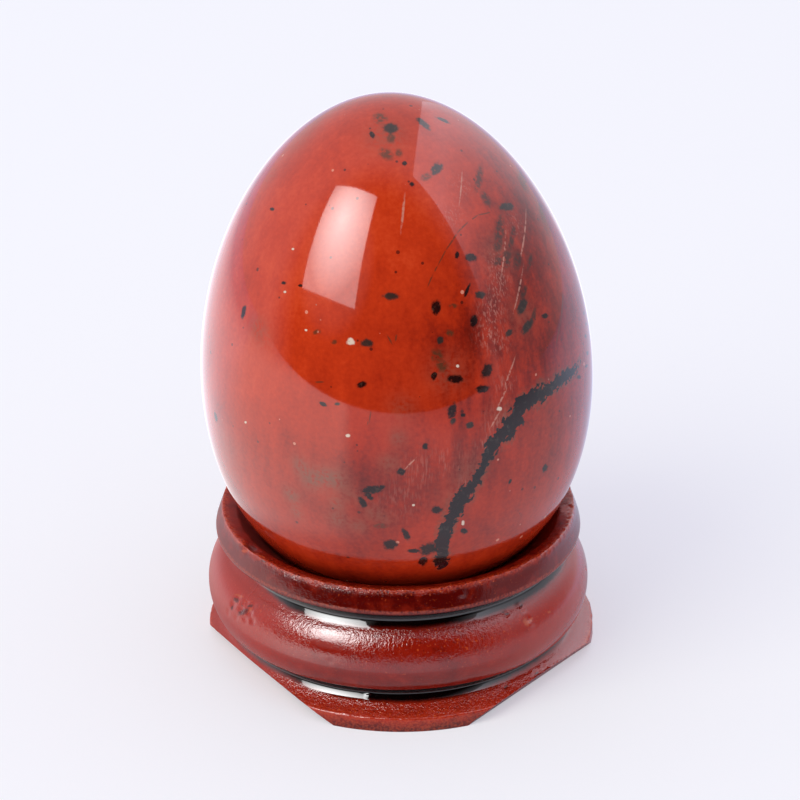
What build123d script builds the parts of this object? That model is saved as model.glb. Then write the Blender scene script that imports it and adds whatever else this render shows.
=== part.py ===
from build123d import *
from math import cos, pi, radians, sin, sqrt, tan
import os

# A polished stone egg standing loose, pointed end up, in a turned hardwood ring stand.
# Millimetres, +Z up, origin on the table at the centre of the stand's underside.
# The front of the object faces -Y.

# Egg
egg_height = 50.0
egg_radius = 18.82  # half the width, measured at half the height
egg_taper_share = -0.124  # narrows the pointed end and fills out the blunt end
egg_fullness_share = 0.050  # fills out both ends alike
egg_tip_share = -0.062  # draws in the tip and squares the blunt end
egg_base_height = 7.0  # blunt end above the table
egg_lean = 2.2  # degrees towards -X, as it happens to stand in its seat
egg_outline_steps = 32  # points all the way round the section

# Seat: a ring dished to the egg's own outline, at the top of a through bore
seat_height = 10.8  # lower edge of the dished ring above the table
seat_clearance = 0.25

# Rim of the stand
stand_height = 14.5
rim_gap = 0.8  # open ring round the egg at the top of the stand
rim_land = 1.4  # width of the top face
rim_land_drop = 0.4  # the top face falls inwards
rim_flare = 0.6  # the outer face spreads downwards
rim_face_height = 2.4
rim_face_crown = 0.05
rim_edge_round = 0.15
rim_foot_round = 0.2

# Groove between rim and belly: a broad cove that swings into the belly's shoulder
upper_groove_width = 2.41
upper_groove_depth = 1.47
upper_groove_undercut = 0.5

# Belly, the wide rounded band that fills the height between the two grooves
belly_overhang = 0.98  # widest place outside the rim's lower edge
belly_widest_share = 0.376  # height of the widest place, as a share of the belly's height
belly_shoulder_set_in = 1.68  # shoulder inside the widest place
belly_heel_set_in = 0.53  # heel inside the widest place
belly_heel_round = 0.25

# Groove between belly and flange: a broad cove that runs out on the flange
lower_groove_width = 2.46
lower_groove_depth = 1.32
lower_groove_undercut = 0.4

# Flange: a round foot plate with four flats sanded leaning in under it
flange_overhang = 0.6  # outside the belly's widest place
flange_edge_height = 1.35
flange_root_height = 1.64  # the top face rises inwards to the lower groove
flange_cove_reach = 1.35
flange_edge_round = 0.15
flat_lean = 38.0  # degrees from upright, which keeps the flats clear of the belly
flats = (  # direction in degrees from +X, and set-in of the flat's lower edge from the flange's
    (-147.0, 3.4),
    (-40.0, 2.55),
    (48.0, 3.0),
    (131.0, 3.0),
)

os.makedirs("parts", exist_ok=True)


def egg_fill(rise_share):
    """Share by which the egg departs from an ellipsoid; rise_share runs from -1 to 1 up its axis."""
    return (
        1
        + egg_taper_share * rise_share
        + egg_fullness_share * rise_share**2
        + egg_tip_share * rise_share**3
    )


def egg_radius_at(height):
    """Radius of the upright egg at a height above the table."""
    rise_share = (height - egg_base_height) / egg_height * 2 - 1
    return egg_radius * sqrt(1 - rise_share**2) * egg_fill(rise_share)


def half_egg(radius, half_height, centre):
    """Half of the egg's section: the outline runs round both sides, and the right side is kept."""
    points = []
    for step in range(egg_outline_steps):
        turn = 2 * pi * step / egg_outline_steps
        rise_share = -cos(turn)
        points.append((radius * sin(turn) * egg_fill(rise_share), centre + half_height * rise_share))
    with BuildSketch() as section:
        with BuildLine():
            Spline(*points, periodic=True)
        make_face()
        split(bisect_by=Plane.YZ)
    return section.sketch


# Heights and radii that follow from the sizes above
egg_half_height = egg_height / 2
egg_middle = egg_base_height + egg_half_height

bore_radius = egg_radius_at(seat_height)
seat_slope = (egg_radius_at(seat_height + seat_clearance) - bore_radius) / seat_clearance
lean_centre = seat_height + bore_radius * seat_slope  # where the seat's normals meet the axis

rim_opening_radius = egg_radius_at(stand_height) + rim_gap
rim_crest_radius = rim_opening_radius + rim_land
rim_foot_radius = rim_crest_radius + rim_flare
rim_opening_height = stand_height - rim_land_drop
rim_foot_height = stand_height - rim_face_height

upper_neck_radius = rim_foot_radius - upper_groove_depth
upper_neck_height = rim_foot_height - upper_groove_undercut

belly_radius = rim_foot_radius + belly_overhang
shoulder_radius = belly_radius - belly_shoulder_set_in
shoulder_height = rim_foot_height - upper_groove_width
heel_radius = belly_radius - belly_heel_set_in
heel_height = flange_root_height + lower_groove_width
belly_widest_height = heel_height + belly_widest_share * (shoulder_height - heel_height)

lower_neck_radius = heel_radius - lower_groove_depth
lower_neck_height = heel_height - lower_groove_undercut
flange_root_radius = lower_neck_radius + flange_cove_reach
flange_radius = belly_radius + flange_overhang

# Stand, turned from one piece of wood
with BuildPart() as stand:
    with BuildSketch(Plane.XZ):
        with BuildLine():
            Polyline(
                (rim_crest_radius, stand_height),
                (rim_opening_radius, rim_opening_height),
                (bore_radius, seat_height),
                (bore_radius, 0),
                (flange_radius, 0),
                (flange_radius, flange_edge_height),
            )
            flange_top = Line(
                (flange_radius, flange_edge_height),
                (flange_root_radius, flange_root_height),
            )
            TangentArc(
                (flange_root_radius, flange_root_height),
                (lower_neck_radius, lower_neck_height),
                tangent=flange_top % 1,
            )
            Line((lower_neck_radius, lower_neck_height), (heel_radius, heel_height))
            belly = ThreePointArc(
                (heel_radius, heel_height),
                (belly_radius, belly_widest_height),
                (shoulder_radius, shoulder_height),
            )
            TangentArc(
                (shoulder_radius, shoulder_height),
                (upper_neck_radius, upper_neck_height),
                tangent=belly % 1,
            )
            Line((upper_neck_radius, upper_neck_height), (rim_foot_radius, rim_foot_height))
            SagittaArc(
                (rim_foot_radius, rim_foot_height),
                (rim_crest_radius, stand_height),
                -rim_face_crown,
            )
        make_face()
    revolve(axis=Axis.Z)

    crest = stand.edges().filter_by(GeomType.CIRCLE).group_by(Axis.Z)[-1]
    fillet(crest, rim_edge_round)
    rim_foot = stand.edges().filter_by_position(Axis.Z, rim_foot_height, rim_foot_height)
    fillet(rim_foot, rim_foot_round)
    heel = stand.edges().filter_by_position(Axis.Z, heel_height, heel_height)
    fillet(heel, belly_heel_round)
    flange_edge = stand.edges().filter_by_position(Axis.Z, flange_edge_height, flange_edge_height)
    fillet(flange_edge, flange_edge_round)

    # The dished seat is the egg's own outline, grown by the clearance
    with BuildSketch(Plane.XZ):
        add(half_egg(egg_radius + seat_clearance, egg_half_height + seat_clearance, egg_middle))
    revolve(axis=Axis.Z, mode=Mode.SUBTRACT)

    for direction, set_in in flats:
        outward = Vector(cos(radians(direction)), sin(radians(direction)), 0)
        along = Vector(-outward.Y, outward.X, 0)
        lean = outward - Vector(0, 0, tan(radians(flat_lean)))
        with Locations(Plane(origin=outward * (flange_radius - set_in), x_dir=along, z_dir=lean)):
            Box(
                flange_radius * 2,
                flange_radius * 2,
                flange_radius,
                align=(Align.CENTER, Align.CENTER, Align.MIN),
                mode=Mode.SUBTRACT,
            )

stand.part.label = "stand"
export_step(stand.part, "parts/stand.step")

# Egg, one solid stone, leaning a little in its seat
lean_turn = radians(egg_lean)
egg_plane = Plane(
    origin=(0, 0, lean_centre),
    x_dir=(cos(lean_turn), 0, sin(lean_turn)),
    z_dir=(0, -1, 0),
)
with BuildPart() as egg:
    with BuildSketch(egg_plane):
        add(half_egg(egg_radius, egg_half_height, egg_middle - lean_centre))
    revolve(axis=Axis(egg_plane.origin, egg_plane.y_dir))

egg.part.label = "egg"
export_step(egg.part, "parts/egg.step")

print(f"Egg {egg_height:.1f} high, seat centre for the lean at {lean_centre:.2f}")
print(f"Stand bore radius {bore_radius:.2f}, rim opening radius {rim_opening_radius:.2f}")
print(f"Rim foot {rim_foot_radius:.2f}, belly {belly_radius:.2f}, flange {flange_radius:.2f}")
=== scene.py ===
# %% [markdown]
# # A red jasper egg on a turned ring stand
#
# The object is two things: a stone egg, ground and polished all over, and a small wooden ring
# that was turned on a lathe, stained red and dipped in thick gloss lacquer. The egg stands loose
# in the ring and can be lifted out of it.
#
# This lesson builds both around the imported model, which stays hidden underneath. First come the
# camera and the studio, because a polished stone shows its surroundings as much as itself.

import math

import bpy
import numpy as np
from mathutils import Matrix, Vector, geometry


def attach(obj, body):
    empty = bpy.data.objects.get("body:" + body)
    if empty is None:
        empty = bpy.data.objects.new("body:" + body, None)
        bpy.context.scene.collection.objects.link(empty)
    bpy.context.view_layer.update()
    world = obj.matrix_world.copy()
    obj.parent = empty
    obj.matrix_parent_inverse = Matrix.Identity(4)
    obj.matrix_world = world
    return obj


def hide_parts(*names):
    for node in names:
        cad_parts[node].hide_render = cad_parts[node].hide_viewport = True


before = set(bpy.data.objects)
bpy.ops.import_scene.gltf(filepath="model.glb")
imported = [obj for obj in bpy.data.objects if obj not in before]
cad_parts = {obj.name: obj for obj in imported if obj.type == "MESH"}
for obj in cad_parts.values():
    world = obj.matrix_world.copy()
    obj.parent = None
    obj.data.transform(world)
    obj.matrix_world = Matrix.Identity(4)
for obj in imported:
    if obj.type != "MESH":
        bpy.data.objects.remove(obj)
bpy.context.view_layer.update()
MM = 0.001

# %% [markdown]
# ## Small helpers
#
# Colours are written as sRGB hex codes, the way a paint chart gives them, and one function turns
# them into the linear values that Blender works in. Another adds a shader node with its settings
# and links, so that every material below reads as a list of what it is made of. A node that is
# given as an input stands for its first output. A third function lays one colour over another, as
# far as its limits let it through.


# %% Colour and node helpers
def linear(code):
    """Linear red, green, blue and alpha of an sRGB hex colour such as #C04020."""
    channels = [int(code[start:start + 2], 16) / 255 for start in (1, 3, 5)]
    return [c / 12.92 if c <= 0.04045 else ((c + 0.055) / 1.055) ** 2.4 for c in channels] + [1.0]


def set_inputs(node, inputs):
    """Each input gets a value, a hex colour, or a socket, or node, to link to."""
    for key, value in inputs.items():
        if isinstance(value, bpy.types.Node):
            value = value.outputs[0]
        if isinstance(value, bpy.types.NodeSocket):
            node.id_data.links.new(value, node.inputs[key])
        else:
            node.inputs[key].default_value = linear(value) if isinstance(value, str) else value


def add_node(tree, kind, inputs=None, stops=(), **settings):
    """Add a shader node with its settings and inputs; stops fill a colour ramp."""
    node = tree.nodes.new("ShaderNode" + kind)
    for name, value in settings.items():
        setattr(node, name, value)
    set_inputs(node, inputs or {})
    for index, (position, code) in enumerate(stops):
        elements = node.color_ramp.elements
        stop = elements[index] if index < 2 else elements.new(position)
        stop.position = position
        stop.color = linear(code)
    return node


def lay_over(tree, colour, over, *limits, amount=None):
    """A colour over another. A limit has a source, where it is 0, where it is full, and how full."""
    share = amount
    for source, zero_at, full_at, full in limits:
        step = {"Value": source, "From Min": zero_at, "From Max": full_at, "To Max": full}
        step = add_node(tree, "MapRange", step, interpolation_type="SMOOTHSTEP")
        if share is None:
            share = step
        else:
            share = add_node(tree, "Math", {0: share, 1: step}, operation="MULTIPLY")
    return add_node(tree, "Mix", {0: share, 6: colour, 7: over}, data_type="RGBA").outputs[2]


def new_material(name):
    """A new material, its node tree and its shader."""
    material = bpy.data.materials.new(name)
    material.use_nodes = True
    return material, material.node_tree, material.node_tree.nodes["Principled BSDF"]


# %% [markdown]
# ## Camera
#
# The picture was taken from about 30 cm away, looking down by 27.5 degrees. The lens and the
# place below put the stand's round edges where the photograph has them.

# %% The camera
PICTURE = 800  # pixels across and down
PIXELS_PER_MM = 10.3  # where the egg stands

camera_data = bpy.data.cameras.new("camera")
camera_data.sensor_width = 36.0
camera_data.lens = 138.42
camera_data.clip_start = 0.01
camera = bpy.data.objects.new("camera", camera_data)
camera.location = (0.18 * MM, -266.17 * MM, 164.01 * MM)
camera.rotation_euler = (math.radians(62.53), 0, 0)
bpy.context.collection.objects.link(camera)
bpy.context.scene.camera = camera
bpy.context.scene.view_settings.view_transform = "Standard"
bpy.context.view_layer.update()

print("Camera", [round(value, 4) for value in camera.location])

# %% [markdown]
# ## Studio: the table
#
# The table is white and ends a little in front of the egg, where the room is dark. The stone
# mirrors it, and it makes the pale band above the seat.
#
# Mirror images see it unevenly lit, and all of it is painted: its colour is painted dull in front and
# duller at the right front, as painted shade, and a painted glow makes it bright at the left and bluish
# behind the egg. Close to the foot the glow adds no light, so that the stand's grooves stay black. The
# camera sees it nearly white, still with the shadow on it.


# %% The table's paper
def flat_card(name, size, location, turn=(0, 0, 0)):
    """A flat rectangle of the studio, facing along its own +Z."""
    bpy.ops.object.select_all(action="DESELECT")
    turn = [math.radians(angle) for angle in turn]
    bpy.ops.mesh.primitive_plane_add(size=1, location=location, rotation=turn)
    card = bpy.context.object
    card.name = name
    card.scale = (size[0], size[1], 1)
    return card


table_paper, tree, shader = new_material("matt_white_paper")
path = add_node(tree, "LightPath")
place = add_node(tree, "NewGeometry").outputs["Position"]  # in metres
deep = add_node(tree, "SeparateXYZ", {0: place}).outputs["Y"]
from_egg = add_node(tree, "VectorMath", {0: place}, operation="LENGTH").outputs["Value"]
to_right_front, to_left = [
    add_node(tree, "VectorMath", {0: place, 1: way}, operation="DOT_PRODUCT").outputs["Value"]
    for way in ((0.8, -0.6, 0), (-0.902, 0.432, 0))
]

# Painted shade: in mirror images the paper is painted duller, most of all at the right front.
shaded = lay_over(tree, "#DADAE0", "#96969E", (to_right_front, 0.07, 0.17, 1.0))
paper = lay_over(tree, "#F6F7FC", shaded, amount=path.outputs["Is Glossy Ray"])
set_inputs(shader, {"Base Color": paper, "Roughness": 0.9, "Specular IOR Level": 0.0})
print("Table paper:", len(tree.nodes), "nodes")

# %% [markdown]
# The uneven light is a glow that only mirror images see: a round pool of light that is cut off
# along a line at the left, and a bluish cast behind the egg.

# %% The glow of the table
where = {"Vector": place, "Location": (-0.09, -0.05, 0), "Scale": (0.36, 0.36, 1)}
pool_of_light = add_node(tree, "Mapping", where, vector_type="TEXTURE")
fading = add_node(tree, "TexGradient", {"Vector": pool_of_light}, gradient_type="SPHERICAL")
limits = {"Value": from_egg, "From Min": 0.030, "From Max": 0.066, "To Min": 0.5}
near_egg = add_node(tree, "MapRange", limits)
left, clear_of_foot = [
    add_node(tree, "MapRange", limits, interpolation_type="SMOOTHSTEP")
    for limits in (
        {"Value": to_left, "From Min": -0.009, "From Max": 0.011, "To Max": 1.5},
        {"Value": from_egg, "From Min": 0.023, "From Max": 0.031},
    )
]
bright = fading.outputs["Fac"]
for share in (left, near_egg, clear_of_foot):
    bright = add_node(tree, "Math", {0: bright, 1: share}, operation="MULTIPLY")

glow = lay_over(tree, (0, 0, 0, 1), (0.09, 0.13, 0.16, 1), amount=clear_of_foot)
bluish = (0.20, 0.29, 0.50, 1)
glow = lay_over(tree, glow, bluish, (deep, -0.01, 0.04, 1.0), (from_egg, 0.025, 0.060, 1.0))
colours = {0: bright, 6: glow, 7: "#F4F1E6"}
glow = add_node(tree, "Mix", colours, data_type="RGBA", blend_type="ADD").outputs[2]
set_inputs(shader, {"Emission Color": glow, "Emission Strength": path.outputs["Is Glossy Ray"]})

pale = add_node(tree, "Emission", {"Color": "#F7F8FF"})
share = add_node(tree, "Math", {0: path.outputs["Is Camera Ray"], 1: 0.42}, operation="MULTIPLY")
seen = add_node(tree, "MixShader", {0: share, 1: shader, 2: pale})
set_inputs(tree.nodes["Material Output"], {"Surface": seen})

# In front of the edge the camera still sees paper, but the stone mirrors none
table_edge = -0.19
table_reach = 3.0
for name, near, far in (("table", table_edge, table_reach), ("table_front", -table_reach, table_edge)):
    card = flat_card(name, (2 * table_reach, far - near), (0, (near + far) / 2, 0))
    card.data.materials.append(table_paper)
    card.visible_glossy = name == "table"
print("Table paper with its glow:", len(tree.nodes), "nodes")

# %% [markdown]
# ## Studio: softbox and board
#
# A large softbox hangs at the upper left and makes the bright window in the stone. A white board
# stands at the right and makes its pale flank. Only mirror images show the two. The softbox is
# brightest above its middle. The board brightens upwards and behind the egg, and fades far away.


# %% Softbox and board
def shine(card, name, code):
    """Give a card a material that only shines, and only in mirror images."""
    material = bpy.data.materials.new(name)
    material.use_nodes = True
    tree = material.node_tree
    tree.nodes.clear()
    glow = add_node(tree, "Emission", {"Color": code})
    add_node(tree, "OutputMaterial", {"Surface": glow})
    card.data.materials.append(material)
    card.visible_camera = False
    card.visible_diffuse = False
    card.visible_shadow = False
    return tree, glow


softbox = flat_card("softbox", (0.199, 0.228), (-0.172, -0.148, 0.233), (119.7, -1.7, 152.0))
tree, glow = shine(softbox, "softbox_cloth", "#FFFFFF")
place = add_node(tree, "TexCoord").outputs["Object"]
where = {"Vector": place, "Location": (0, 0.12, 0), "Scale": (0.60, 0.62, 1)}
centred = add_node(tree, "Mapping", where, vector_type="TEXTURE")
hot = add_node(tree, "TexGradient", {"Vector": centred}, gradient_type="SPHERICAL")
lit = add_node(tree, "MapRange", {"Value": hot.outputs["Fac"], "To Min": 4.0, "To Max": 15.5})
set_inputs(glow, {"Strength": lit})

board = flat_card("white_board", (1, 1), (0, 0, 0))
board_corners = ((0.25, -0.143, 0.0), (0.25, 1.5, 0.0), (0.25, -0.215, 0.93), (0.25, 1.5, 0.32))
for vertex, corner in zip(board.data.vertices, board_corners):
    vertex.co = corner
tree, glow = shine(board, "white_board", "#F2F2FF")
place = add_node(tree, "NewGeometry").outputs["Position"]
parts = add_node(tree, "SeparateXYZ", {0: place})
slopes = []
for axis, start, end, first, last in (
    ("Z", 0.07, 0.40, 0.0, 2.0), ("Y", 0.05, 0.70, 1.0, 0.35), ("Y", 0.02, 0.25, 0.45, 1.15),
):
    limits = {"From Min": start, "From Max": end, "To Min": first, "To Max": last}
    slopes.append(add_node(tree, "MapRange", {"Value": parts.outputs[axis], **limits}))
lit = add_node(tree, "Math", dict(enumerate(slopes)), operation="MULTIPLY_ADD")
set_inputs(glow, {"Strength": lit})
print("Softbox at", [round(value, 3) for value in softbox.location])

# %% [markdown]
# ## Studio: lamp and room
#
# Soft light from all round does most of the lighting, so the shadow at the right stays pale. One
# broad lamp in the softbox's direction adds the rest.
#
# In mirror images the room is pale, and nearly black behind the camera, which makes the deep red
# middle of the egg. Below the softbox that dark part is a little hazy.

# %% Lamp and room
lamp_data = bpy.data.lights.new("soft_lamp", "AREA")
lamp_data.shape = "RECTANGLE"
lamp_data.size = 0.95
lamp_data.size_y = 1.10
lamp_data.energy = 9.5
lamp_data.color = (1.0, 1.0, 0.72)
lamp = bpy.data.objects.new("soft_lamp", lamp_data)
lamp.location = (-0.864, -0.716, 1.026)
lamp.rotation_euler = (-lamp.location).to_track_quat("-Z", "Y").to_euler()
lamp.visible_glossy = False
bpy.context.collection.objects.link(lamp)

world = bpy.data.worlds.new("studio_room")
bpy.context.scene.world = world
world.use_nodes = True
tree = world.node_tree
heading = add_node(tree, "TexCoord").outputs["Generated"]
mirrored = "#F0F0FA"
for centre, zero_at, full_at, full, code in (
    ((-0.14, -0.97, 0.17), 0.20, 0.62, 1.0, "#050505"),
    ((-0.60, -0.60, 0.53), 0.89, 0.955, 0.45, "#F4F0EE"),
):
    ways = {0: heading, 1: Vector(centre).normalized()}
    facing = add_node(tree, "VectorMath", ways, operation="DOT_PRODUCT").outputs["Value"]
    mirrored = lay_over(tree, mirrored, code, (facing, zero_at, full_at, full))

path = add_node(tree, "LightPath")
colour = (0.76, 0.75, 0.87, 1.0)  # the soft light
for ray, other in (("Is Glossy Ray", mirrored), ("Is Camera Ray", "#F5F6FE")):
    colour = lay_over(tree, colour, other, amount=path.outputs[ray])
set_inputs(tree.nodes["Background"], {"Color": colour})

# %% [markdown]
# ## Outlines that are spun
#
# Both pieces are round about an upright axis: the wood was cut while it spun in a lathe, and the
# stone was ground while it rolled between wheels. So each one is drawn as half an outline, one
# vertex after another, and spun once round the axis. That is how the real shapes came about, and
# it keeps every edge a true circle.


# %% Draw an outline and spin it
def spin_outline(name, outline, steps):
    """Points (radius, height) in millimetres, joined by edges and turned once round the axis."""
    points = [Vector((radius, 0, height)) * MM for radius, height in outline]
    bpy.ops.object.select_all(action="DESELECT")
    bpy.ops.mesh.primitive_plane_add(size=MM, location=points[0])
    piece = bpy.context.object
    piece.name = name
    bpy.ops.object.transform_apply(location=True, rotation=True, scale=True)
    bpy.ops.object.mode_set(mode="EDIT")
    bpy.ops.mesh.merge(type="CENTER")
    for before, after in zip(points, points[1:]):
        bpy.ops.mesh.extrude_region_move(TRANSFORM_OT_translate={"value": after - before})
    bpy.ops.mesh.select_all(action="SELECT")
    bpy.ops.mesh.spin(steps=steps, angle=2 * math.pi, center=(0, 0, 0), axis=(0, 0, 1))
    bpy.ops.mesh.select_all(action="SELECT")
    bpy.ops.mesh.remove_doubles(threshold=0.002 * MM)
    bpy.ops.mesh.normals_make_consistent(inside=False)
    bpy.ops.object.mode_set(mode="OBJECT")
    return piece


# %% [markdown]
# ## Places that the picture shows
#
# Every spot of the stone and every chip in the wood has its own place in the photograph. A ray
# from the camera through that pixel finds the same place on the surface. From there on the place
# belongs to the piece, so the mark stays put from any side.
#
# Soft patches are kept as one number on each vertex, which the materials read by name.


# %% Find a place, paint a number
def picture_ray(x, y):
    """Direction in which the camera sees a pixel of the picture."""
    half_view = camera_data.sensor_width / 2 / camera_data.lens
    across = (x / PICTURE * 2 - 1) * half_view
    upwards = (1 - y / PICTURE * 2) * half_view
    return (camera.matrix_world.to_3x3() @ Vector((across, upwards, -1))).normalized()


def seen_at(piece, x, y):
    """Place and normal on the piece where the camera sees a pixel."""
    hit, place, normal, face = piece.ray_cast(camera.location, picture_ray(x, y))
    if not hit:
        raise ValueError(f"{piece.name} isn't seen at {x}, {y}")
    return place, normal


def column(items, name, width=1, kind=float):
    """One property of all items, one row each."""
    values = np.empty(len(items) * width, dtype=kind)
    items.foreach_get(name, values)
    return values.reshape(-1, width) if width > 1 else values


def vertex_places(piece):
    """All vertices in millimetres, one row each."""
    return column(piece.data.vertices, "co", 3) / MM


def paint(piece, name, values):
    """Keep one number on each vertex under a name."""
    layer = piece.data.attributes.new(name, "FLOAT", "POINT")
    layer.data.foreach_set("value", np.asarray(values, dtype=float))


def patches(piece, marks):
    """Sum of soft round patches, each given as x, y, radius in pixels and strength."""
    places = vertex_places(piece)
    total = np.zeros(len(places))
    for x, y, radius, strength in marks:
        centre = np.array(seen_at(piece, x, y)[0]) / MM
        away = np.linalg.norm(places - centre, axis=1) * PIXELS_PER_MM
        total += strength * np.exp(-0.5 * (away / radius) ** 2)
    return total


# %% [markdown]
# ## Egg
#
# A stone egg is an ellipsoid whose tip is drawn in and whose blunt end is filled out. The three
# shares below say by how much. It leans by two degrees, because it is loose in its seat.

# %% The egg's shape
egg_height = 50.0
egg_radius = 18.82
egg_base_height = 7.0
egg_lean = 2.2
lean_centre = 25.51
taper_share, fullness_share, tip_share = -0.124, 0.050, -0.062
egg_rings = 176
egg_steps = 288


def egg_fill(rise_share):
    """Share by which the egg departs from an ellipsoid, from -1 at its foot to 1 at its tip."""
    return 1 + taper_share * rise_share + fullness_share * rise_share**2 + tip_share * rise_share**3


def egg_radius_at(height):
    """Radius of the upright egg at a height above the table."""
    rise_share = (height - egg_base_height) / egg_height * 2 - 1
    return egg_radius * math.sqrt(1 - rise_share**2) * egg_fill(rise_share)


egg_outline = []
for ring in range(egg_rings + 1):
    turn = math.pi * ring / egg_rings
    rise_share = -math.cos(turn)
    radius = egg_radius * math.sin(turn) * egg_fill(rise_share)
    egg_outline.append((max(radius, 0.0), egg_base_height + egg_height / 2 * (1 + rise_share)))

egg = spin_outline("jasper_egg", egg_outline, egg_steps)
bpy.ops.object.mode_set(mode="EDIT")
bpy.ops.mesh.select_all(action="SELECT")
bpy.ops.transform.rotate(
    value=math.radians(egg_lean), orient_axis="Y", center_override=(0, 0, lean_centre * MM)
)
bpy.ops.object.mode_set(mode="OBJECT")
bpy.ops.object.shade_smooth()

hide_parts("egg")
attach(egg, "egg")

top = max((vertex.co for vertex in egg.data.vertices), key=lambda place: place.z)
print("Egg", len(egg.data.polygons), "faces, tip at", [round(value / MM, 2) for value in top])

# %% [markdown]
# ## Stand outline
#
# The ring has a rim whose top slopes inwards, a groove, a wide rounded belly, a second groove and
# a thin foot plate. Every groove swings into its neighbour in one S-shaped curve, because the
# lacquer pooled there. Beziers draw those curves, and short straight runs join them.

# %% The stand's outline
opening = (16.02, 14.10)
crest = (17.44, 14.30)
rim_foot = (18.06, 12.50)
upper_neck = (16.80, 11.45)
upper_cove = (16.56, 10.46)
shoulder = (17.25, 9.75)
heel = (18.48, 4.11)
lower_neck = (17.30, 3.30)
lower_cove = (17.16, 2.66)
flange_root = (18.51, 1.64)
flange_edge = (19.14, 1.47)
flange_radius = 19.30
bore_radius = 11.76
seat_height = 10.80
fine_step = 0.14  # millimetres between vertices where the surface shows
foot_off_centre = (0.3, -0.3)  # millimetres to the right and to the front


class Pencil:
    """Collects the points of an outline, evenly spaced."""

    def __init__(self, start):
        self.points = [Vector(start)]

    def line(self, end, step=fine_step):
        start, end = self.points[-1], Vector(end)
        count = max(1, round((end - start).length / step))
        self.points += [start.lerp(end, number / count) for number in range(1, count + 1)]

    def curve(self, leave, arrive, end):
        start, end = self.points[-1], Vector(end)
        count = max(3, round((end - start).length * 1.1 / fine_step))
        bent = geometry.interpolate_bezier(start, Vector(leave), Vector(arrive), end, count + 1)
        self.points += bent[1:]


pencil = Pencil((bore_radius, 0.0))
pencil.line((bore_radius, seat_height), step=2.0)
for height in (11.2, 11.6, 12.0, 12.4, 12.8):
    pencil.line((egg_radius_at(height) + 0.32, height), step=0.4)
pencil.line(opening, step=0.3)
pencil.line((17.22, 14.44))
pencil.curve((17.36, 14.48), (17.44, 14.46), crest)
pencil.curve((17.68, 13.74), (17.88, 13.10), rim_foot)
pencil.curve((18.14, 12.22), (18.10, 12.06), (17.90, 12.00))
pencil.curve((17.30, 11.90), (16.92, 11.85), upper_neck)
pencil.curve((16.68, 11.05), (16.42, 10.78), upper_cove)
pencil.curve((16.80, 10.17), (17.00, 9.91), shoulder)
pencil.curve((18.93, 8.66), (19.49, 6.00), heel)
pencil.curve((18.42, 3.96), (18.24, 3.88), (17.95, 3.84))
pencil.line((17.50, 3.76))
pencil.curve((17.38, 3.70), (17.36, 3.52), lower_neck)
pencil.curve((17.22, 3.05), (17.06, 2.86), lower_cove)
pencil.curve((17.48, 2.20), (17.92, 1.83), flange_root)
pencil.line(flange_edge)
pencil.curve((19.26, 1.44), (flange_radius, 1.36), (flange_radius, 1.20))
pencil.line((flange_radius, 0.0))
pencil.line((bore_radius, 0.0), step=2.0)

stand = spin_outline("turned_stand", pencil.points, 544)

# The foot plate sits a little off centre, from just outside the lower cove on
foot_shift = Vector((*foot_off_centre, 0)) * MM
for vertex in stand.data.vertices:
    if vertex.co.z < 2.1 * MM:
        share = (vertex.co.xy.length / MM - 17.2) / 1.4
        vertex.co += foot_shift * min(max(share, 0.0), 1.0)

print("Stand outline", len(pencil.points), "points;", len(stand.data.polygons), "faces")

# %% [markdown]
# ## Flats under the foot
#
# Four flats were sanded on the foot plate, leaning in under it. Each is one straight cut, so each
# is one bisect that throws away what lies outside and closes the wound. Its standard threshold of
# 0.1 mm would take whole small faces to lie in the cut, and fill them twice.

# %% Cut the flats
flats = (  # direction from +X in degrees, reach at the table in mm, lean from upright in degrees
    (-145.6, 15.55, 45), (-40, 17.05, 38), (48, 16.6, 38), (131, 16.6, 38),
)

for direction, reach, flat_lean in flats:
    outward = Vector((math.cos(math.radians(direction)), math.sin(math.radians(direction)), 0))
    normal = outward - Vector((0, 0, math.tan(math.radians(flat_lean))))
    bpy.ops.object.mode_set(mode="EDIT")
    bpy.ops.mesh.select_all(action="SELECT")
    bpy.ops.mesh.bisect(
        plane_co=outward * reach * MM, plane_no=normal,
        use_fill=True, clear_outer=True, threshold=0.001 * MM,
    )
    bpy.ops.object.mode_set(mode="OBJECT")

bpy.ops.object.shade_smooth_by_angle(angle=math.radians(40))
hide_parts("stand")
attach(stand, "stand")

print("Stand after its flats:", len(stand.data.polygons), "faces")
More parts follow.
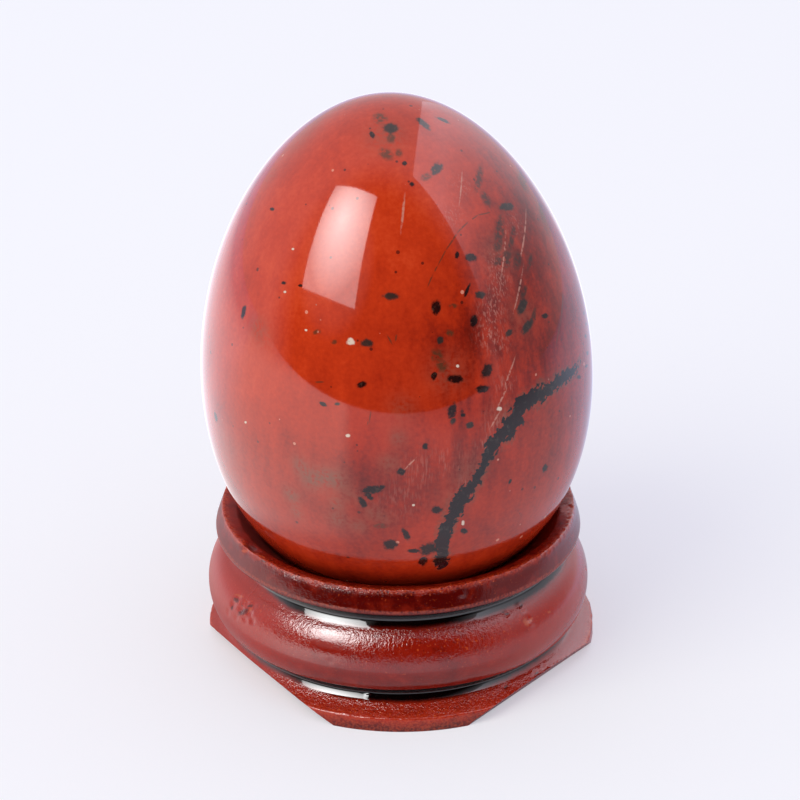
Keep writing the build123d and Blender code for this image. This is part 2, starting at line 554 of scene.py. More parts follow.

# %% [markdown]
# ## Jasper: what grew in it
#
# Jasper is quartz too fine to see, coloured brick red by iron oxide, ground and then polished to a
# mirror. Its marks lie inside the stone: black spots of iron ore, olive and grey ones, pale quartz
# specks, healed cracks as thin as a hair, and one ragged black vein from the right flank down to the
# seat. Five small pits at the right edge are only painted black, as painted shade in them, and one pale
# spot is a painted glint of a pit.
#
# Each spot is a small flat ellipsoid. Every face of the egg belongs to the spot that is nearest
# to it, and its corners keep their place in that spot's own frame, where the spot is a ball of
# radius one. The length of that place tells inside from outside, as sharply as in a drawing.

# %% The spots, as x, y, half length, half width in pixels, and tilt in degrees
black_spots = (
    (436, 307.4, 7, 4.6, 85), (474, 321, 6, 3.6, 70), (455, 379, 8, 4, -3), (487, 371, 7.5, 5, 65),
    (482, 389, 7, 3.5, 12), (434, 376, 4, 3, 80), (452, 411, 7, 4.5, 75), (463, 415, 2.5, 2, 0),
    (372, 490, 10, 4, 8), (369, 496, 5, 3, -30), (380, 488, 5, 2.5, 20), (362.4, 502, 6, 3, -60),
    (390.6, 545, 7, 5, 5), (406, 534.5, 6, 3, -60), (428, 549, 9, 5.5, 20), (414, 551, 6, 2, 0),
    (423, 561, 5, 4, 60), (440, 560, 6, 3.5, 10), (437, 510, 5.5, 3.6, 0), (463.7, 531, 3.5, 2.8, 0),
    (545, 468, 4, 2.5, 70), (510, 481.5, 2.5, 1.2, 60), (362, 384.5, 5, 3, 25),
    (471, 257.5, 6, 3.6, -10), (457, 255, 3.6, 2, 80), (467, 291, 7, 1.6, 68), (545, 316, 3, 2.6, 0),
    (412, 184.4, 2.6, 2.2, 0), (372, 134.4, 3.6, 2.4, -60), (323, 404, 4.5, 2, -25),
    (425.4, 446.7, 3.5, 2.8, 60), (401.5, 471.7, 4.5, 3.5, 0), (579, 377, 2.2, 2.2, 0),
    (404.4, 163.4, 2.5, 2.2, 0), (272, 209, 2, 1.6, 0), (283.6, 283, 2.2, 1.6, 0),
    # The last five, at the right edge, are small pits painted black: painted shade, not ore.
    (300.5, 285.5, 2.2, 1.4, 0), (584, 313, 1.6, 1, 80), (586, 324, 1.4, 0.9, 60),
    (585.5, 336, 1.6, 1, 90), (587.5, 353, 2, 1, 80), (586.5, 366, 1.8, 1, 60),
)
grey_spots = (
    (390, 296, 8, 3.8, -3), (367, 343, 6.5, 3.8, -5), (480.5, 295, 5, 3.8, 0), (522, 306, 8, 4, 65),
    (527, 327, 8, 3.6, 62), (507, 206.5, 7, 4, -5), (391, 128, 7, 5, -10), (436.4, 168.4, 7, 5, 50),
    (424, 123.6, 8, 2.8, -40), (443, 120, 7, 1.5, -25), (337, 404, 2.5, 1.6, 0), (509, 333, 4, 3, 35),
    (440, 340, 4, 3, 70), (453, 421, 4, 2.5, 60), (470, 425, 4, 3, 20),
)
olive_spots = (
    (380, 118, 7, 5, -10), (391, 138, 4.5, 4, 80), (386, 154, 7, 5, -30), (399, 153, 4, 3.5, 70),
    (426.4, 176.8, 5, 3.5, 20), (523, 180, 12, 3, -70), (542, 212, 10, 2.5, -75), (450, 333, 4, 3, -20),
    (437, 356, 7, 5.5, -60), (442, 366, 6, 5, -45), (453, 306, 4, 2.5, 0), (334, 342, 3, 2.2, 0),
    (381, 526, 7, 2.2, 0), (317, 332, 4, 2.4, 15),
)
dusky_streaks = (
    (479, 178, 13, 3.5, 80), (486, 199, 9, 3.5, -60), (500, 230, 15, 5, 85), (498, 245, 8, 4.5, 80),
    (507, 258, 10, 4.5, 85), (498, 260, 6, 4, 70), (518, 260, 9, 4, 80), (512, 238, 12, 2.5, 80),
    (530, 262, 8, 2, 78), (524, 292, 7, 2.5, 70), (533, 318, 10, 2.2, 75),
)
# Pale quartz specks; the first, at 351, 342, is a painted glint where a small pit catches the light.
pale_specks_and_glint = (
    (351, 342, 4, 3.4, 0), (347.8, 435.4, 2.2, 1.8, 0), (245.7, 422.4, 1.1, 1.1, 0),
    (499.6, 409, 2.4, 2.2, 0), (413.5, 505, 1.5, 1.1, 0), (463, 523, 2.5, 1.5, 80),
    (457.6, 366, 1.5, 1.4, 0), (306, 330, 1.4, 1.1, 0), (285, 292, 1.4, 1.2, 0),
    (293, 249, 1.2, 1.1, 0),
)
pale_streaks = (
    (510, 372, 14, 0.8, 70), (503, 396, 10, 0.9, 65), (495, 420, 9, 0.8, 60), (461, 188, 16, 0.7, 85),
    (524, 238, 26, 0.8, 82), (519, 290, 22, 0.8, 78), (504, 255, 24, 0.7, 84), (403, 212, 17, 1.2, 84),
    (410, 464, 8, 0.7, 45),
)
hair_cracks = (
    (485, 213.5, 7.5, 0.7, 12), (473, 218.5, 6, 0.7, 35), (463, 227, 7.5, 0.8, 45),
    (452, 241, 11, 0.8, 57), (442, 257.5, 8.5, 0.7, 62), (435.5, 269.5, 5, 0.7, 61),
    (430.5, 280, 6.5, 0.7, 67), (370, 417, 6, 0.7, 80), (368.5, 420.7, 5, 0.7, 75),
    (562, 310, 18, 0.8, 84), (558, 335, 11, 0.7, 80), (390, 340, 5, 0.9, -60), (396, 338, 3, 1, 80),
    (319, 382, 4, 0.9, 0),
)
back_spots = (
    (20, 38, 0.7, 0.4), (55, 30, 0.9, 0.5), (70, 44, 0.5, 0.4), (100, 36, 0.6, 0.4),
    (128, 26, 0.8, 0.5), (150, 41, 0.5, 0.3), (170, 32, 0.6, 0.5), (205, 28, 0.5, 0.4),
    (215, 40, 0.7, 0.3), (88, 22, 0.6, 0.5), (40, 20, 0.5, 0.3), (140, 47, 0.6, 0.4),
)  # direction from +X in degrees, height, half length and half width in mm

print("Spots:", len(black_spots + grey_spots + olive_spots + pale_specks_and_glint), "and", len(back_spots))

# %% [markdown]
# A spot that the picture shows is found by three rays: to its centre, and to the ends of its long
# and its short half. The spots of the back are given by direction and height.


# %% A layer of marks on the corners of the faces
MARK_DEPTH = 0.8  # half thickness of a mark in millimetres


def seen_mark(piece, x, y, half_long, half_short, tilt):
    """Frame of the ellipsoid that shows as this ellipse in the picture."""
    place, normal = seen_at(piece, x, y)
    across = math.cos(math.radians(tilt))
    upwards = math.sin(math.radians(tilt))
    axes = []
    for step_x, step_y in (
        (half_long * across, -half_long * upwards),
        (-half_short * upwards, -half_short * across),
    ):
        ray = picture_ray(x + step_x, y + step_y)
        far = geometry.intersect_line_plane(camera.location, camera.location + ray, place, normal)
        axes.append(far - place)
    ways, halves, _ = np.linalg.svd(np.array(axes).T, full_matrices=False)
    ways = np.array([ways[:, 0], ways[:, 1], normal])
    longest = 2.5 * halves[1] * half_long / half_short
    halves = np.array([min(halves[0], longest), halves[1], MARK_DEPTH * MM])
    return np.array(place) / MM, ways / (halves / MM)[:, None]


def far_side_mark(piece, direction, height, half_long, half_short):
    """The same for a spot that is given by its direction, height and half sizes in mm."""
    inwards = -Vector((math.cos(math.radians(direction)), math.sin(math.radians(direction)), 0))
    start = Vector((0, 0, height * MM)) - inwards * 60 * MM
    hit, place, normal, face = piece.ray_cast(start, inwards)
    upright = (Vector((0, 0, 1)) - normal * normal.z).normalized()
    ways = np.array([upright, normal.cross(upright), normal])
    return np.array(place) / MM, ways / np.array([half_long, half_short, MARK_DEPTH])[:, None]


def mark_layer(piece, name, marks):
    """Corners get their place in the nearest mark's frame, and that mark's kind."""
    mesh = piece.data
    places = vertex_places(piece)
    centres = column(mesh.polygons, "center", 3) / MM
    nearest = np.full(len(centres), 1e9)
    owner = np.zeros(len(centres), dtype=int)
    for index, (kind, (place, frame_rows)) in enumerate(marks):
        away = np.linalg.norm((centres - place) @ frame_rows.T, axis=1)
        owner[away < nearest] = index
        nearest = np.minimum(nearest, away)
    corner_vertices = column(mesh.loops, "vertex_index", kind=int)
    corner_owner = np.repeat(owner, column(mesh.polygons, "loop_total", kind=int))
    mark_places = np.array([place for kind, (place, rows) in marks])[corner_owner]
    mark_rows = np.array([rows for kind, (place, rows) in marks])[corner_owner]
    own = np.einsum("cij,cj->ci", mark_rows, places[corner_vertices] - mark_places)
    layer = mesh.attributes.new(name, "FLOAT_VECTOR", "CORNER")
    layer.data.foreach_set("vector", own.ravel())
    layer = mesh.attributes.new(name + "_kind", "FLOAT", "CORNER")
    layer.data.foreach_set("value", np.array([kind for kind, _ in marks], dtype=float)[corner_owner])


soft_lists = (olive_spots, dusky_streaks, pale_streaks)
crisp_lists = (black_spots, grey_spots, hair_cracks, pale_specks_and_glint)
soft_marks = [(kind, seen_mark(egg, *mark)) for kind, marks in enumerate(soft_lists) for mark in marks]
crisp_marks = [(kind, seen_mark(egg, *mark)) for kind, marks in enumerate(crisp_lists) for mark in marks]
crisp_marks += [(0, far_side_mark(egg, *mark)) for mark in back_spots]
mark_layer(egg, "soft_marks", soft_marks)
mark_layer(egg, "crisp_marks", crisp_marks)
print("Marks on the egg:", len(soft_marks), "soft and", len(crisp_marks), "crisp")

# %% [markdown]
# ## Jasper: vein and clouds
#
# The vein is a chain of places with a half width at each. Every vertex of the egg gets its
# distance from that chain, counted in half widths, and the material makes the edge ragged. On the
# back, which the picture doesn't show, the vein thins out and ends.

# %% The vein on the vertices
vein_marks = (  # x, y and half width in pixels
    (571.7, 372.8, 5.4), (558.7, 380.4, 6.5), (550, 389, 4.5), (541.3, 393.5, 8), (530.4, 399, 8),
    (520.7, 404.3, 8), (515.2, 417.4, 9), (506.5, 430.4, 9.5), (495.7, 441.3, 7), (487, 456.5, 5.5),
    (480.4, 471.7, 4.5), (473.9, 484.8, 5.5), (463, 495.7, 8), (455.4, 510.9, 7.5), (447.8, 523.9, 6),
    (442.4, 541.3, 6), (441.3, 556.5, 6), (442, 566, 5),
)
vein_on_the_back = (  # direction from +X in degrees, height and half width in mm
    (12, 33.5, 0.55), (30, 36, 0.55), (52, 38.5, 0.45), (75, 40, 0.45), (98, 42.5, 0.1),
)
vein_widening = 1.06  # makes up for what the ragged edge takes away

places = vertex_places(egg)
vein = []
for x, y, half in vein_marks:
    vein.append((*(np.array(seen_at(egg, x, y)[0]) / MM), half * vein_widening / PIXELS_PER_MM))
for direction, height, half in vein_on_the_back:
    vein.insert(0, (*far_side_mark(egg, direction, height, half, half)[0], half))
vein = np.array(vein)

vein_distance = np.full(len(places), 9.0)
for start, end in zip(vein, vein[1:]):
    along = end[:3] - start[:3]
    share = np.clip((places - start[:3]) @ along / (along @ along), 0, 1)
    away = np.linalg.norm(places - (start[:3] + share[:, None] * along), axis=1)
    vein_distance = np.minimum(vein_distance, away / (start[3] + share * (end[3] - start[3])))
paint(egg, "vein", vein_distance)
print("Vein reaches", int((vein_distance < 1).sum()), "vertices")

# %% [markdown]
# These layers are sums of soft round patches: how light the ground is, lighter towards the upper left
# and the left and darker towards the right, how strongly it is streaked, where it is stained brown, and
# where it is dusted with pale quartz.

# %% The clouds on the vertices
paint(egg, "tone", patches(egg, (
    (330, 190, 95, 0.55), (400, 215, 45, 0.25), (400, 130, 40, 0.1), (245, 330, 70, 0.45),
    (455, 352, 26, -0.45), (372, 478, 22, -0.35), (360, 440, 50, 0.25), (430, 440, 45, 0.3),
    (545, 290, 55, -0.4), (500, 262, 40, -0.2), (560, 400, 70, -0.2), (500, 470, 60, -0.25),
    (520, 200, 35, -0.35), (420, 540, 50, 0.15), (330, 400, 60, 0.1), (420, 480, 40, -0.15),
    (474, 335, 18, -0.25), (372, 500, 34, -0.5), (400, 455, 45, -0.3), (330, 440, 35, -0.2),
)))
paint(egg, "banding", patches(egg, (
    (512, 235, 45, 0.3), (515, 330, 45, 0.4), (480, 420, 35, 0.4),
)))
paint(egg, "brown", patches(egg, (
    (300, 465, 7, 0.8), (311, 480, 8, 1), (335, 480, 9, 1), (291.7, 495.7, 7, 1), (297, 513, 5, 0.8),
    (337, 504, 6, 0.8), (337, 519.6, 7, 0.8), (359, 526, 6, 0.8), (322, 474, 6, 0.6),
    (372, 512, 7, 0.7), (352, 496, 6, 0.5), (385, 520, 6, 0.5), (398, 438, 6, 0.7),
    (388.5, 463, 7, 0.7), (225, 445, 16, 0.3), (470, 470, 12, 0.5), (455, 500, 12, 0.5),
    (500, 415, 10, 0.4), (262, 335, 10, 0.35), (255, 325, 8, 0.35), (300, 140, 14, 0.3),
    (318, 120, 12, 0.3), (270, 175, 8, 0.3), (402, 408, 10, 0.4), (385, 135, 14, 0.5),
    (448, 372, 14, 0.5), (500, 250, 14, 0.5), (523, 315, 12, 0.5),
)))
paint(egg, "pale", patches(egg, (
    (497, 262, 8, 0.5), (500, 285, 8, 0.6), (492, 310, 9, 0.7), (488, 335, 8, 0.6), (500, 345, 8, 0.4),
    (515, 225, 8, 0.4), (462, 185, 8, 0.3), (452, 215, 8, 0.3), (505, 385, 8, 0.5), (495, 420, 8, 0.5),
    (420, 470, 12, 0.3), (400, 500, 14, 0.25), (450, 460, 10, 0.3), (470, 480, 6, 0.5),
    (485, 445, 6, 0.5),
)))
print("Painted on the egg:", [layer.name for layer in egg.data.attributes if layer.domain == "POINT"])

# %% [markdown]
# ## Jasper: the material
#
# The colour runs from a deep maroon over brick red to orange, as cloudy layers that the grinding
# cut across. Fine grains of about 0.3 mm make it lively. The polish is a mirror, so the roughness
# is low and the surface has no bump. The IOR is that of quartz, 1.54.
#
# One function serves the wood as well: it unsettles a number with noise.


# %% Jasper: the ground
def unsettle(tree, value, *swings):
    """The value pushed up and down by noises, each given with how far it pushes."""
    for noise, size in swings:
        swing = add_node(tree, "Math", {0: noise, 1: 2 * size, 2: -size}, operation="MULTIPLY_ADD")
        value = add_node(tree, "Math", {0: value, 1: swing}, operation="ADD")
    return value


jasper, tree, shader = new_material("polished_red_jasper")
here = add_node(tree, "TexCoord").outputs["Object"]
mm = add_node(tree, "Mapping", {"Vector": here, "Scale": (1000, 1000, 1000)})
flow = add_node(tree, "Mapping", {"Vector": mm, "Rotation": (0.10, -0.30, 0), "Scale": (0.9, 0.9, 0.13)})
clouds, streaks, grain, speckle, shake = [
    add_node(tree, "TexNoise", {"Vector": vector, "Scale": scale, "Detail": detail, **more}).outputs
    for vector, scale, detail, more in (
        (mm, 0.16, 4.0, {"Distortion": 0.4}), (flow, 1.0, 3.0, {}), (mm, 2.6, 3.0, {}),
        (flow, 7.0, 2.0, {}), (mm, 2.0, 5.0, {"Roughness": 0.6}),
    )
]
painted = {
    name: add_node(tree, "Attribute", attribute_name=name).outputs["Fac"]
    for name in ("tone", "banding", "brown", "pale", "vein")
}

band = add_node(tree, "Math", {0: streaks["Fac"], 1: 3.2, 2: -1.6}, operation="MULTIPLY_ADD")
parts = {0: painted["banding"], 1: band, 2: painted["tone"]}
banded = add_node(tree, "Math", parts, operation="MULTIPLY_ADD")
tone = unsettle(tree, banded, (clouds["Fac"], 0.70), (streaks["Fac"], 0.40), (grain["Fac"], 0.45))
scaled = add_node(tree, "MapRange", {"Value": tone, "From Min": -1.2, "From Max": 1.2})
shades = ((0.0, "#52120C"), (0.28, "#821D0E"), (0.5, "#A62A10"), (0.72, "#BA3414"), (1.0, "#CC4622"))
ramp = add_node(tree, "ValToRGB", {"Fac": scaled}, stops=shades)
print("Jasper's ground:", len(tree.nodes), "nodes")

# %% [markdown]
# Over the ground lie brown smudges, quartz dust, and grains of ore and quartz, none of which is
# wider than a third of a millimetre. The soft marks lie deeper in the stone, under the grain.


# %% Jasper: dust, grains and soft marks
def nearest_mark(tree, name, shake, ragged):
    """How far a place is from the nearest mark, 1 at its torn outline, and that mark's kind."""
    own = add_node(tree, "Attribute", attribute_name=name)
    shift = {0: shake["Color"], 1: (2 * ragged,) * 3, 2: (-ragged,) * 3}
    shift = add_node(tree, "VectorMath", shift, operation="MULTIPLY_ADD")
    torn = add_node(tree, "VectorMath", {0: own.outputs["Vector"], 1: shift})
    away = add_node(tree, "VectorMath", {0: torn}, operation="LENGTH")
    kind = add_node(tree, "Attribute", attribute_name=name + "_kind")
    return away.outputs["Value"], kind.outputs["Fac"]


def by_kind(tree, kind, codes):
    """One colour for each kind of mark."""
    middle = {0: kind, 1: 1 / len(codes), 2: 0.5 / len(codes)}
    share = add_node(tree, "Math", middle, operation="MULTIPLY_ADD")
    stops = [(index / len(codes), code) for index, code in enumerate(codes)]
    colours = add_node(tree, "ValToRGB", {"Fac": share}, stops=stops)
    colours.color_ramp.interpolation = "CONSTANT"
    return colours.outputs["Color"]


colour = ramp.outputs["Color"]
colour = lay_over(tree, colour, "#824636", (grain["Fac"], 0.28, 0.58, 1.0), amount=painted["brown"])
colour = lay_over(tree, colour, "#B87464", (speckle["Fac"], 0.50, 0.66, 1.0), amount=painted["pale"])

cells = add_node(tree, "TexVoronoi", {"Vector": mm, "Scale": 0.85})
cell = add_node(tree, "SeparateColor", {0: cells.outputs["Color"]})
reach = add_node(tree, "Math", {0: cell.outputs[0], 1: 0.34, 2: -0.18}, operation="MULTIPLY_ADD")
near = add_node(tree, "Math", {0: reach, 1: cells.outputs["Distance"]}, operation="SUBTRACT")
dot_colour = lay_over(tree, "#3A1410", "#D89078", (cell.outputs[1], 0.70, 0.72, 1.0))
colour = lay_over(tree, colour, dot_colour, (near, -0.03, 0.02, 0.75))

away, kind = nearest_mark(tree, "soft_marks", shake, 0.55)
over = by_kind(tree, kind, ("#40301E", "#2A241E", "#C08472"))
colour = lay_over(tree, colour, over, (away, 1.45, 0.55, 1.0), (grain["Fac"], 0.28, 0.56, 0.78))
print("Jasper with its soft marks:", len(tree.nodes), "nodes")

# %% [markdown]
# The vein has blocky crystals at its edge and dusty olive beside it. The crisp spots come last,
# each with a brown halo, because they lie right under the polish.

# %% Jasper: vein and crisp marks
blocks = add_node(tree, "TexVoronoi", {"Vector": mm, "Scale": 2.3})
block = add_node(tree, "SeparateColor", {0: blocks.outputs["Color"]})
edge = unsettle(tree, painted["vein"], (block.outputs[0], 0.40), (grain["Fac"], 0.55))
colour = lay_over(tree, colour, "#5A4636", (edge, 2.0, 1.0, 0.5), (streaks["Fac"], 0.42, 0.60, 1.0))
ore = lay_over(tree, "#0E0E14", "#44423C", (shake["Fac"], 0.54, 0.70, 0.55))
colour = lay_over(tree, colour, ore, (edge, 1.10, 0.92, 0.96))

away, kind = nearest_mark(tree, "crisp_marks", shake, 0.60)
colour = lay_over(tree, colour, "#4A2418", (away, 1.9, 0.1, 1.0), (grain["Fac"], 0.42, 0.62, 0.55))
away, kind = nearest_mark(tree, "crisp_marks", shake, 0.70)
over = by_kind(tree, kind, ("#0C0809", "#2A2622", "#74301C", "#D8C4B0"))
over = lay_over(tree, over, "#5A4A3C", (shake["Fac"], 0.56, 0.68, 0.30))
colour = lay_over(tree, colour, over, (away, 1.28, 0.72, 1.0), (shake["Fac"], 0.26, 0.36, 0.94))

set_inputs(shader, {"Base Color": colour, "Roughness": 0.05, "IOR": 1.54})
egg.data.materials.append(jasper)
print("Jasper:", len(tree.nodes), "nodes")

# %% [markdown]
# ## Lacquer: thick, thin and rubbed
#
# The stand was turned, stained red and dipped. The lacquer ran into both grooves and set there as smooth
# pools, painted nearly black as dark lacquer and as painted shade in the deep grooves. On the belly and
# the foot it dried over raised wood grain, as fine orange peel. The crest and the foot's edge were
# rubbed, and bare stained wood shows there.
#
# First the shape: Displace modifiers roughen the wood where it is rough, each held to its region
# by a vertex group. Knocks and torn grain are pushed in at the places that the picture shows.


# %% Helpers for the worn wood
def roughen(piece, name, weights, grain, height):
    """Lumps of this grain and height in millimetres, held to a region by the vertices' weights."""
    group = piece.vertex_groups.new(name=name)
    for index, weight in enumerate(np.clip(weights, 0, 1)):
        if weight > 0.01:
            group.add([index], float(weight), "REPLACE")
    lumps = bpy.data.textures.new(name, "CLOUDS")
    lumps.noise_scale = grain * MM
    lumps.noise_depth = 2
    bpy.ops.object.select_all(action="DESELECT")
    piece.select_set(True)
    bpy.context.view_layer.objects.active = piece
    modifier = piece.modifiers.new(name, "DISPLACE")
    modifier.texture = lumps
    modifier.texture_coords = "LOCAL"
    modifier.vertex_group = name
    modifier.strength = height * MM
    modifier.mid_level = 0.5
    bpy.ops.object.modifier_apply(modifier=name)


def near_line(places, radius, height, reach):
    """1 on the ring of this radius and height, falling to 0 at the reach."""
    ring = np.hypot(places[:, 0], places[:, 1])
    away = np.hypot(ring - radius, places[:, 2] - height)
    return np.clip(1 - away / reach, 0, 1)


def by_direction(places, table):
    """A value that changes round the piece, from pairs of degrees from +X and value."""
    directions, values = zip(*table)
    return np.interp(np.degrees(np.arctan2(places[:, 1], places[:, 0])), directions, values)


# %% [markdown]
# The lacquer's two pools reach down the belly to a height, and out on the foot to a radius, which
# change round the stand. Each vertex gets its distance inwards from the shore, in millimetres.

# %% Pools and worn edges
upper_shore = (
    (-180, 10.9), (-150, 10.8), (-140, 10.4), (-128, 9.92), (-110, 9.88), (-60, 9.9), (-20, 9.8),
    (0, 10.1), (90, 10.3), (180, 10.9),
)
lower_shore = (
    (-180, 17.33), (-128, 17.42), (-116, 17.64), (-108, 17.74), (-75, 17.78), (-50, 17.5), (-35, 17.45),
    (-20, 17.65), (0, 17.7), (90, 17.5), (180, 17.33),
)
places = vertex_places(stand)
ring = np.hypot(places[:, 0], places[:, 1])
height = places[:, 2]
upper_pool_top = 12.12
lower_pool_top = 4.02
outside = (ring > 16.2) & (height > 0.3)
upper_pool = np.minimum(upper_pool_top - height, height - by_direction(places, upper_shore))
lower_pool = np.minimum(lower_pool_top - height, by_direction(places, lower_shore) - ring)
pool = np.where(outside, np.maximum(upper_pool, lower_pool), -2)

crest_wear = near_line(places, 17.25, 14.50, 0.55)
foot_ring = np.hypot(places[:, 0] - foot_off_centre[0], places[:, 1] - foot_off_centre[1])
edge_wear = np.clip((foot_ring - 18.6) / 0.6, 0, 1) * (height < 1.8)
skin = np.clip(-pool * 4, 0, 1) * outside

roughen(stand, "crest", crest_wear * 1.5, 0.50, 0.20)
roughen(stand, "foot_edge", edge_wear * np.clip(height / 0.4, 0, 1), 1.3, 0.20)
roughen(stand, "skin", skin, 2.2, 0.02)
print("Rough wood:", int((crest_wear > 0.2).sum()), "crest vertices,", int(skin.sum()), "on the skin")

# %% [markdown]
# Each knock is a round dent of the depth given, and a negative depth is a lump. The wood is torn at
# the left of the rim and of the belly.

# %% Knocks and torn grain
knocks = (  # x, y and radius in pixels, depth in mm
    (250, 547, 5, 0.32), (243, 541, 3.5, -0.12), (256, 551, 4, 0.15), (286, 571, 4, 0.12),
    (296, 575, 3, 0.1), (233, 604, 3.5, 0.12), (238, 598, 3, 0.1), (241, 609, 3, 0.13),
    (246, 603, 3, 0.12), (249, 613, 3.5, 0.13), (253, 606, 3, 0.1), (245, 619, 3, 0.11),
    (252, 621, 3, 0.12), (228, 612, 3, 0.08), (236, 617, 2.6, 0.09), (528, 619, 3, 0.14),
    (531, 624, 2.5, -0.08), (507, 614, 2.6, 0.1), (519, 606, 2.6, 0.1), (523, 611, 2.4, 0.08),
    (586, 569, 2.4, 0.08), (506, 687, 2.6, 0.12), (537, 674, 2.8, 0.12), (546, 668, 2.6, 0.12),
    (369, 696, 2.2, -0.1), (462, 594, 2.6, -0.08), (330, 661, 2.6, 0.06),
)
normals = column(stand.data.vertex_normals, "vector", 3)
moved = places.copy()
for x, y, radius, depth in knocks:
    centre = np.array(seen_at(stand, x, y)[0]) / MM
    away = np.linalg.norm(places - centre, axis=1) * PIXELS_PER_MM / radius
    moved -= normals * (depth * np.exp(-0.5 * away**3))[:, None]
shifted = vertex_places(stand) + (moved - places)
stand.data.vertices.foreach_set("co", (shifted * MM).ravel())
stand.data.update()
print("Knocks:", len(knocks))

# %% [markdown]
# ## Lacquer: how it dried
#
# The peel is strong on the upper belly and the foot, and there is hardly any on the rim and the lower
# belly. The clear coat is full in the pools, thin on the belly's front, and gone where the gloss wore to
# satin. At the left, the right and the back, and less on the rim, the colour is painted paler, as
# painted light on the stand's sides.

# %% Peel, wear, clear coat and satin on the vertices
peel_heights = (0.0, 1.4, 1.6, 4.2, 5.6, 7.2, 9.8, 12.0, 13.8, 14.3)
peel_shares = (0.15, 0.6, 1.6, 0.25, 0.15, 0.7, 1.1, 0.15, 0.4, 2.0)
peel_round = (
    (-180, 0.2), (-150, 0.25), (-132, 0.8), (-118, 1), (-60, 1), (-48, 0.45), (-20, 0.2), (180, 0.2),
)
peel_patches = (
    (328, 638, 15, -0.75), (240, 607, 8, 0.9), (518, 610, 7, 0.35), (250, 547, 7, 0.6),
    (528, 621, 4, 0.6),
)
worn_foot = ((-180, 0.3), (-60, 0.3), (-45, 0.8), (-10, 0.8), (0, 0.4), (180, 0.3))
coat_round = (
    (-180, 0), (-150, 0), (-135, 0.3), (-122, 1), (-80, 0.8), (-60, 0.4), (-40, 0.3), (60, 0.2),
    (180, 0),
)
dull_below = ((-180, 0.1), (-110, 0.15), (-60, 0.5), (-40, 1.6), (180, 1.0))
crest_round = ((-180, 0.0), (-135, 0.2), (-126, 0.9), (-85, 0.9), (-70, 0.2), (180, 0.0))
satin_round = (
    (-180, 0.46), (-155, 0.38), (-140, 0.22), (-122, 0.07), (-60, 0.1), (-30, 0.14), (0, 0.17),
    (180, 0.46),
)
# Painted light: how much paler the stand's sides are painted, round the stand.
side_light_round = ((-180, 0.8), (-135, 0.7), (-112, 0.1), (-75, 0.0), (-50, 0.5), (-20, 0.9), (180, 0.8))

peel = np.interp(height, peel_heights, peel_shares) * by_direction(places, peel_round)
peel += patches(stand, peel_patches)
edge_wear *= by_direction(places, worn_foot)
rim_foot_wear = near_line(places, 18.08, 12.42, 0.22) * 0.5
paint(stand, "peel", np.clip(peel, 0, 2.0))
paint(stand, "pool", pool)
paint(stand, "wear", np.maximum.reduce([crest_wear * 0.8, edge_wear, rim_foot_wear]))

on_rim = height >= 12
coat = by_direction(places, coat_round) * ~on_rim
coat = np.where(height < 6.2, coat * by_direction(places, dull_below), coat)
coat = np.where(height > 13.7, by_direction(places, crest_round), coat)
basin = ((height < 11.1) & (height > 8)) | (height < 2.95)
paint(stand, "coat", np.maximum(coat * (pool < 0), np.clip(pool * 8 + 0.5, 0, 1) * basin))

satin = by_direction(places, satin_round)
paint(stand, "satin", np.where((height > 12.2) & (satin > 0.2), satin + 0.12, satin))
paint(stand, "painted_side_light", by_direction(places, side_light_round) * np.where(on_rim, 0.3, 1.0))
print("In the pools:", int((pool > 0).sum()), "vertices")

# %% [markdown]
# Chips are marks like those of the stone. Most are dark; some bare the orange wood, one is a red
# drop, and one is a pale graze on the rim.

# %% Chips
dark_chips = (
    (236, 600, 4, 2, -30), (243, 612, 5, 2.2, 40), (250, 606, 3, 1.4, 10), (232, 608, 2.4, 1.2, 80),
    (253, 548.5, 5, 2.4, -25), (521, 606, 2.5, 1.3, 60), (515, 604, 2, 0.9, 0), (507, 614, 2.6, 1.3, 0),
    (503, 612, 1.6, 0.9, 0), (506, 687, 2.4, 1.4, 60), (537, 673, 2.6, 1.3, 30),
    (263, 561, 2.4, 1, -30),
)
orange_chips = (
    (526, 622, 4, 2.2, -60), (531, 620, 2.6, 1.6, 60), (245, 551, 3.2, 1.6, 0), (262, 556, 3, 1.2, -30),
    (250, 610, 3, 1.2, 50), (240, 596, 3, 1.1, -20), (549, 612, 1.6, 1.1, 0),
)
red_drops = ((586, 569, 2.2, 1.6, 80),)
pale_grazes = ((566, 510, 6.5, 4.2, -40),)
chip_lists = (dark_chips, orange_chips, red_drops, pale_grazes)
chips = [(kind, seen_mark(stand, *chip)) for kind, marks in enumerate(chip_lists) for chip in marks]
mark_layer(stand, "chips", chips)
print("Chips:", len(chips))

# %% [markdown]
# ## Lacquer: the material
#
# The stain is a deep red that changes with the height: darkest on the rim's face, lighter on the foot's
# top and at the crest, and dark again on the foot's edge. Fine flecks of 0.2 to 0.4 mm are dark open
# pores and, where the peel is, orange ones: lighter fibres and painted sparks of light on the peel.
# Where the edges were rubbed, the wood is orange, and in the pools the lacquer is painted nearly black,
# as dark lacquer and as painted shade in the deep grooves.

# %% The lacquer's colour
lacquer, tree, shader = new_material("red_gloss_lacquer_on_hardwood")
here = add_node(tree, "TexCoord").outputs["Object"]
mm = add_node(tree, "Mapping", {"Vector": here, "Scale": (1000, 1000, 1000)})
up = add_node(tree, "SeparateXYZ", {0: mm}).outputs["Z"]
mottle, flecks, shake = [
    add_node(tree, "TexNoise", {"Vector": mm, "Scale": scale, "Detail": detail}).outputs
    for scale, detail in ((0.8, 4.0), (4.5, 2.0), (3.0, 4.0))
]
painted = {
    name: add_node(tree, "Attribute", attribute_name=name).outputs["Fac"]
    for name in ("peel", "pool", "wear", "coat", "satin", "painted_side_light")
}

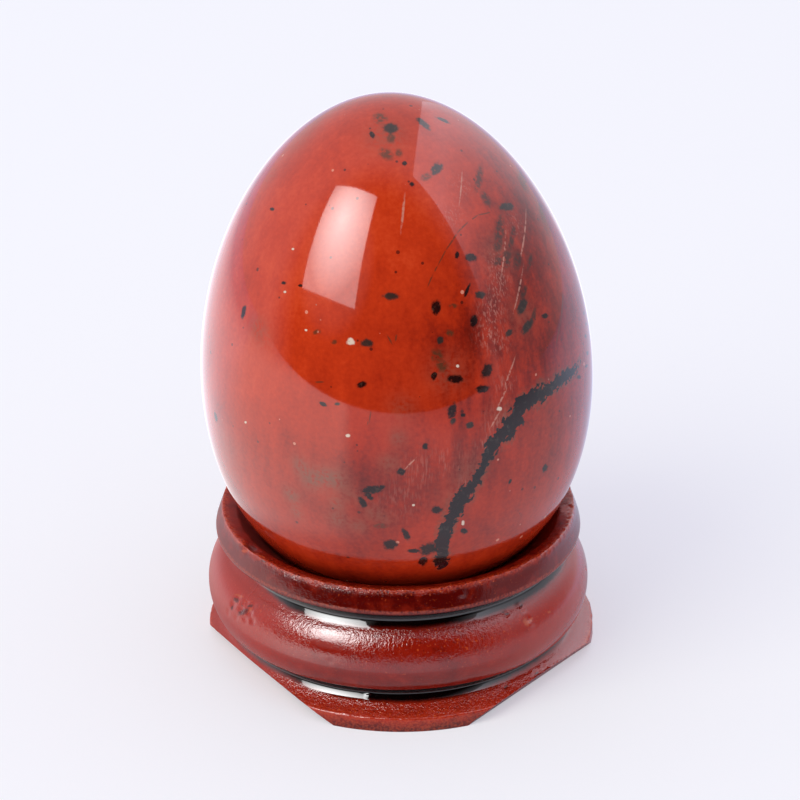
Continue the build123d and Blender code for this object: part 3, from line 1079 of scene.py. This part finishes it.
stain_top = 15.0
stains = (  # height in mm and colour
    (0.4, "#520C08"), (1.4, "#A82812"), (4.2, "#68100A"), (6.3, "#7C140A"), (9.0, "#8A1606"),
    (11.8, "#640804"), (12.6, "#4A0402"), (13.9, "#4C0402"), (14.4, "#8E1C0C"),
)
wavy_up = unsettle(tree, up, (mottle["Fac"], 0.5))
share_up = add_node(tree, "MapRange", {"Value": wavy_up, "From Max": stain_top})
stops = [(stain_height / stain_top, code) for stain_height, code in stains]
ramp = add_node(tree, "ValToRGB", {"Fac": share_up}, stops=stops)
colour = lay_over(tree, ramp.outputs["Color"], "#9A2410", (mottle["Fac"], 0.50, 0.75, 0.35))
colour = lay_over(tree, colour, "#4E0402", (mottle["Fac"], 0.50, 0.28, 0.35))
# Painted light: the stand's sides are painted paler.
colour = lay_over(tree, colour, "#A82412", amount=painted["painted_side_light"])
# Orange flecks on the peel: lighter fibres and painted sparks of light.
colour = lay_over(tree, colour, "#CC5426", (flecks["Fac"], 0.62, 0.74, 0.7), amount=painted["peel"])
colour = lay_over(tree, colour, "#3C0402", (flecks["Fac"], 0.38, 0.28, 0.5), amount=painted["peel"])
colour = lay_over(tree, colour, "#C44A24", (flecks["Fac"], 0.38, 0.60, 1.0), amount=painted["wear"])

# In the pools the colour is painted nearly black: dark lacquer, and painted shade of the deep grooves.
bay = unsettle(tree, painted["pool"], (flecks["Fac"], 0.10), (mottle["Fac"], 0.12))
colour = lay_over(tree, colour, "#0A0202", (bay, -0.15, 0.35, 1.0))
away, kind = nearest_mark(tree, "chips", shake, 0.80)
over = by_kind(tree, kind, ("#480A06", "#B04A28", "#B81008", "#C88078"))
colour = lay_over(tree, colour, over, (away, 1.4, 0.6, 0.8))
print("Lacquer's colour:", len(tree.nodes), "nodes")

# %% [markdown]
# The lacquer is a clear coat of its own over the stained and sealed wood, with an IOR of about
# 1.5. The peel is a bump of about 0.35 mm that breaks the window into sparks, and the pools have
# none: they are as smooth as glass.

# %% The lacquer's gloss and peel
limits = {"Value": bay, "From Min": -0.06, "From Max": 0.10}
pooled = add_node(tree, "MapRange", limits, interpolation_type="SMOOTHSTEP")
gloss = add_node(tree, "MapRange", {"Value": pooled, "To Min": painted["satin"], "To Max": 0.05})
fibre_way = add_node(tree, "Mapping", {"Vector": mm, "Scale": (1.0, 1.0, 0.45)})
lumps = add_node(tree, "TexNoise", {"Vector": fibre_way, "Scale": 2.8, "Detail": 2.0})
fine = add_node(tree, "TexNoise", {"Vector": mm, "Scale": 7.5, "Detail": 1.0})
relief = unsettle(tree, lumps.outputs["Fac"], (fine.outputs["Fac"], 0.30))
dry = add_node(tree, "MapRange", {"Value": pooled, "To Min": 1.0, "To Max": 0.0})
roughness = add_node(tree, "Math", {0: dry, 1: painted["peel"]}, operation="MULTIPLY")
bump = add_node(tree, "Bump", {"Strength": roughness, "Distance": 0.065 * MM, "Height": relief})
set_inputs(shader, {
    "Base Color": colour, "Roughness": gloss, "IOR": 1.50, "Normal": bump,
    "Coat Weight": painted["coat"], "Coat Roughness": 0.04, "Coat IOR": 1.5, "Coat Normal": bump,
})
stand.data.materials.append(lacquer)
print("Lacquer:", len(tree.nodes), "nodes")
